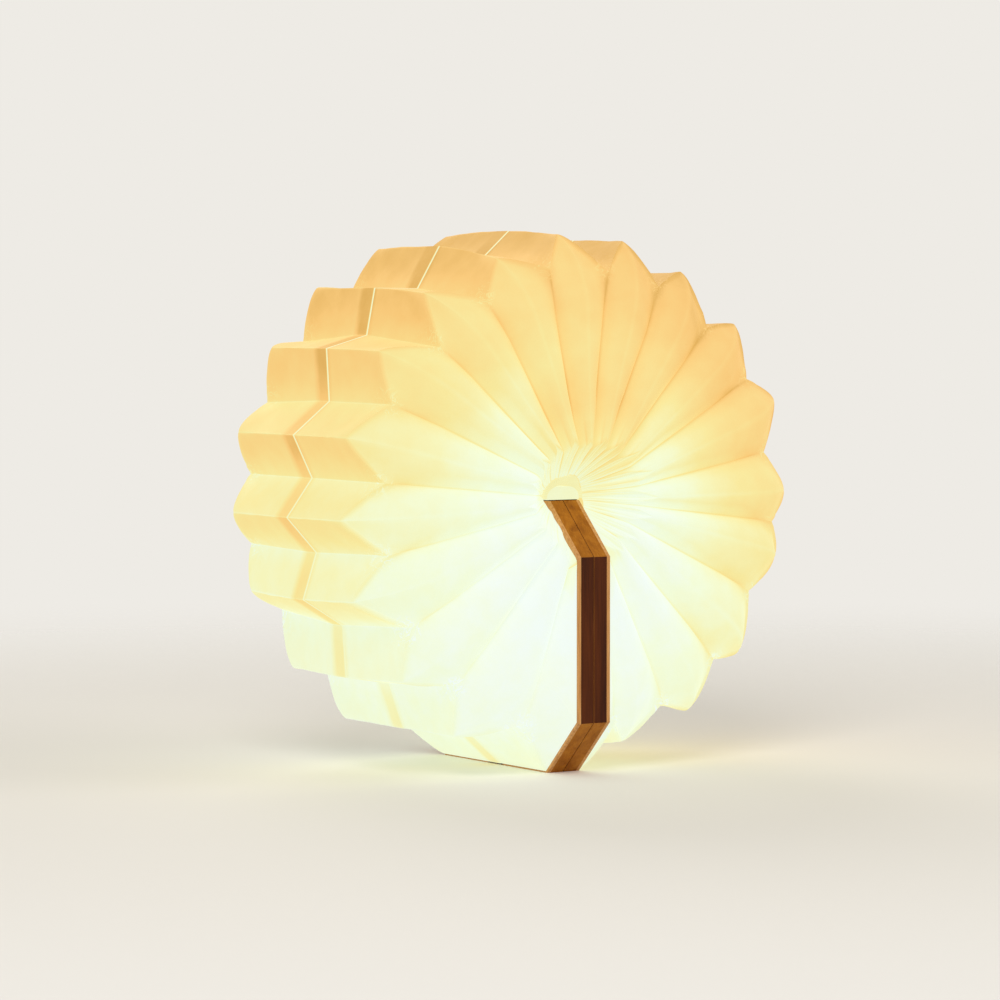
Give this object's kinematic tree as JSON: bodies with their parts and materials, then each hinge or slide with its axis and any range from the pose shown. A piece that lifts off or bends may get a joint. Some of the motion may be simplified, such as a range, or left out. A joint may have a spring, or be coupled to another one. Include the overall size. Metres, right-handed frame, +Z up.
{
  "type": "table lamp",
  "caption": "Cordless book lamp: two wooden covers opened back to back stand on their fore-edges, with a lit pleated paper wheel between them.",
  "frame": {"origin": "middle of the fore-edges that the opened lamp stands on", "axes": "+Z up, +Y along the spine away from the viewer, +X across the two covers"},
  "size_m": [0.3341, 0.192, 0.3388],
  "materials": {
    "walnut": "oiled walnut, satin",
    "liner_board": "thin birch board, sanded",
    "book_cloth": "woven cloth tape",
    "spine_back": "flexible, matt",
    "lit_paper": "white spun-bonded sheet, lit from inside",
    "flat_cable": "polyimide, satin",
    "nickel_plate": "nickel plated",
    "zinc_steel": "zinc plated",
    "white_nylon": "moulded",
    "white_board": "white solder mask",
    "led": "phosphor gel, lit",
    "frosted_acrylic": "frosted, lit",
    "green_board": "green solder mask",
    "black_chip": "moulded epoxy",
    "clear_guide": "clear, polished",
    "battery_foil": "matt foil pouch"
  },
  "bodies": {
    "left_side": {"left_cover": "walnut", "left_liner": "liner_board", "left_hinge_tape": "book_cloth", "left_magnets": "nickel_plate", "left_led_board": "white_board", "left_leds": "led", "left_light_bar": "frosted_acrylic", "left_led_lead": "flat_cable", "control_board": "green_board", "board_screws": "zinc_steel", "board_spacers": "white_nylon", "board_chips": "black_chip", "lid_sensor": "black_chip", "charging_socket": "zinc_steel", "socket_tongue": "black_chip", "indicator_light": "clear_guide", "battery": "battery_foil", "battery_lead": "flat_cable", "board_lead": "flat_cable", "left_end_pleat": "lit_paper"},
    "spine": {"spine_strip": "spine_back", "spine_web": "lit_paper", "spine_ribbon": "flat_cable", "hub_gather": "lit_paper"},
    "right_side": {"right_cover": "walnut", "right_liner": "liner_board", "right_hinge_tape": "book_cloth", "right_magnets": "nickel_plate", "right_led_board": "white_board", "right_leds": "led", "right_light_bar": "frosted_acrylic", "right_led_lead": "flat_cable", "trigger_magnet": "nickel_plate", "right_end_pleat": "lit_paper"},
    "fold_01": {"pleat_01": "lit_paper"},
    "fold_02": {"pleat_02": "lit_paper"},
    "fold_03": {"pleat_03": "lit_paper"},
    "fold_04": {"pleat_04": "lit_paper"},
    "fold_05": {"pleat_05": "lit_paper"},
    "fold_06": {"pleat_06": "lit_paper"},
    "fold_07": {"pleat_07": "lit_paper"},
    "fold_08": {"pleat_08": "lit_paper"},
    "fold_09": {"pleat_09": "lit_paper"},
    "fold_10": {"pleat_10": "lit_paper"},
    "fold_11": {"pleat_11": "lit_paper"},
    "fold_12": {"pleat_12": "lit_paper"},
    "fold_13": {"pleat_13": "lit_paper"},
    "fold_14": {"pleat_14": "lit_paper"},
    "fold_15": {"pleat_15": "lit_paper"},
    "fold_16": {"pleat_16": "lit_paper"},
    "fold_17": {"pleat_17": "lit_paper"},
    "fold_18": {"pleat_18": "lit_paper"}
  },
  "joints": [
    {"name": "spine_fold", "type": "hinge", "parent": "left_side", "child": "spine", "pos_m": [-0.00795, 0, 0.1717], "axis": [0, -1, 0], "range_deg": [0, 180], "deforming": ["spine_web", "spine_ribbon", "hub_gather", "left_end_pleat"]},
    {"name": "cover_fold", "type": "hinge", "parent": "spine", "child": "right_side", "pos_m": [0.00795, 0, 0.1717], "axis": [0, -1, 0], "range_deg": [0, 180], "deforming": ["right_end_pleat"]},
    {"name": "pleat_01_turn", "type": "hinge", "parent": "left_side", "child": "fold_01", "pos_m": [-0.00616, 0, 0.14871], "axis": [0, -1, 0], "range_deg": [0, 30], "deforming": ["pleat_01"]},
    {"name": "pleat_02_turn", "type": "hinge", "parent": "left_side", "child": "fold_02", "pos_m": [-0.00637, 0, 0.15756], "axis": [0, -1, 0], "range_deg": [0, 48.5], "deforming": ["pleat_02"]},
    {"name": "pleat_03_turn", "type": "hinge", "parent": "left_side", "child": "fold_03", "pos_m": [-0.00658, 0, 0.16203], "axis": [0, -1, 0], "range_deg": [0, 68.5], "deforming": ["pleat_03"]},
    {"name": "pleat_04_turn", "type": "hinge", "parent": "left_side", "child": "fold_04", "pos_m": [-0.00679, 0, 0.16448], "axis": [0, -1, 0], "range_deg": [0, 86.5], "deforming": ["pleat_04"]},
    {"name": "pleat_05_turn", "type": "hinge", "parent": "left_side", "child": "fold_05", "pos_m": [-0.007, 0, 0.16623], "axis": [0, -1, 0], "range_deg": [0, 104], "deforming": ["pleat_05"]},
    {"name": "pleat_06_turn", "type": "hinge", "parent": "left_side", "child": "fold_06", "pos_m": [-0.00721, 0, 0.16786], "axis": [0, -1, 0], "range_deg": [0, 124], "deforming": ["pleat_06"]},
    {"name": "pleat_07_turn", "type": "hinge", "parent": "left_side", "child": "fold_07", "pos_m": [-0.00742, 0, 0.16911], "axis": [0, -1, 0], "range_deg": [0, 141.5], "deforming": ["pleat_07"]},
    {"name": "pleat_08_turn", "type": "hinge", "parent": "left_side", "child": "fold_08", "pos_m": [-0.00763, 0, 0.17035], "axis": [0, -1, 0], "range_deg": [0, 160], "deforming": ["pleat_08"]},
    {"name": "pleat_09_turn", "type": "hinge", "parent": "left_side", "child": "fold_09", "pos_m": [-0.00784, 0, 0.17156], "axis": [0, -1, 0], "range_deg": [0, 178], "deforming": ["pleat_09"]},
    {"name": "pleat_10_turn", "type": "hinge", "parent": "right_side", "child": "fold_10", "pos_m": [0.00784, 0, 0.17067], "axis": [0, -1, 0], "range_deg": [-165, 0], "deforming": ["pleat_10"]},
    {"name": "pleat_11_turn", "type": "hinge", "parent": "right_side", "child": "fold_11", "pos_m": [0.00763, 0, 0.16947], "axis": [0, -1, 0], "range_deg": [-147.5, 0], "deforming": ["pleat_11"]},
    {"name": "pleat_12_turn", "type": "hinge", "parent": "right_side", "child": "fold_12", "pos_m": [0.00742, 0, 0.16824], "axis": [0, -1, 0], "range_deg": [-130, 0], "deforming": ["pleat_12"]},
    {"name": "pleat_13_turn", "type": "hinge", "parent": "right_side", "child": "fold_13", "pos_m": [0.00721, 0, 0.16674], "axis": [0, -1, 0], "range_deg": [-111, 0], "deforming": ["pleat_13"]},
    {"name": "pleat_14_turn", "type": "hinge", "parent": "right_side", "child": "fold_14", "pos_m": [0.007, 0, 0.16476], "axis": [0, -1, 0], "range_deg": [-90.5, 0], "deforming": ["pleat_14"]},
    {"name": "pleat_15_turn", "type": "hinge", "parent": "right_side", "child": "fold_15", "pos_m": [0.00679, 0, 0.16293], "axis": [0, -1, 0], "range_deg": [-75.5, 0], "deforming": ["pleat_15"]},
    {"name": "pleat_16_turn", "type": "hinge", "parent": "right_side", "child": "fold_16", "pos_m": [0.00658, 0, 0.1585], "axis": [0, -1, 0], "range_deg": [-53, 0], "deforming": ["pleat_16"]},
    {"name": "pleat_17_turn", "type": "hinge", "parent": "right_side", "child": "fold_17", "pos_m": [0.00637, 0, 0.15118], "axis": [0, -1, 0], "range_deg": [-34.5, 0], "deforming": ["pleat_17"]},
    {"name": "pleat_18_turn", "type": "hinge", "parent": "right_side", "child": "fold_18", "pos_m": [0.00616, 0, 0.12643], "axis": [0, -1, 0], "range_deg": [-15.5, 0], "deforming": ["pleat_18"]}
  ],
  "couplings": [
    {"joint": "cover_fold", "follows": "spine_fold", "ratio": 1},
    {"joint": "pleat_01_turn", "follows": "spine_fold", "ratio": 0.16667},
    {"joint": "pleat_02_turn", "follows": "spine_fold", "ratio": 0.26944},
    {"joint": "pleat_03_turn", "follows": "spine_fold", "ratio": 0.38056},
    {"joint": "pleat_04_turn", "follows": "spine_fold", "ratio": 0.48056},
    {"joint": "pleat_05_turn", "follows": "spine_fold", "ratio": 0.57778},
    {"joint": "pleat_06_turn", "follows": "spine_fold", "ratio": 0.68889},
    {"joint": "pleat_07_turn", "follows": "spine_fold", "ratio": 0.78611},
    {"joint": "pleat_08_turn", "follows": "spine_fold", "ratio": 0.88889},
    {"joint": "pleat_09_turn", "follows": "spine_fold", "ratio": 0.98889},
    {"joint": "pleat_10_turn", "follows": "spine_fold", "ratio": -0.91667},
    {"joint": "pleat_11_turn", "follows": "spine_fold", "ratio": -0.81944},
    {"joint": "pleat_12_turn", "follows": "spine_fold", "ratio": -0.72222},
    {"joint": "pleat_13_turn", "follows": "spine_fold", "ratio": -0.61667},
    {"joint": "pleat_14_turn", "follows": "spine_fold", "ratio": -0.50278},
    {"joint": "pleat_15_turn", "follows": "spine_fold", "ratio": -0.41944},
    {"joint": "pleat_16_turn", "follows": "spine_fold", "ratio": -0.29444},
    {"joint": "pleat_17_turn", "follows": "spine_fold", "ratio": -0.19167},
    {"joint": "pleat_18_turn", "follows": "spine_fold", "ratio": -0.086111}
  ]
}
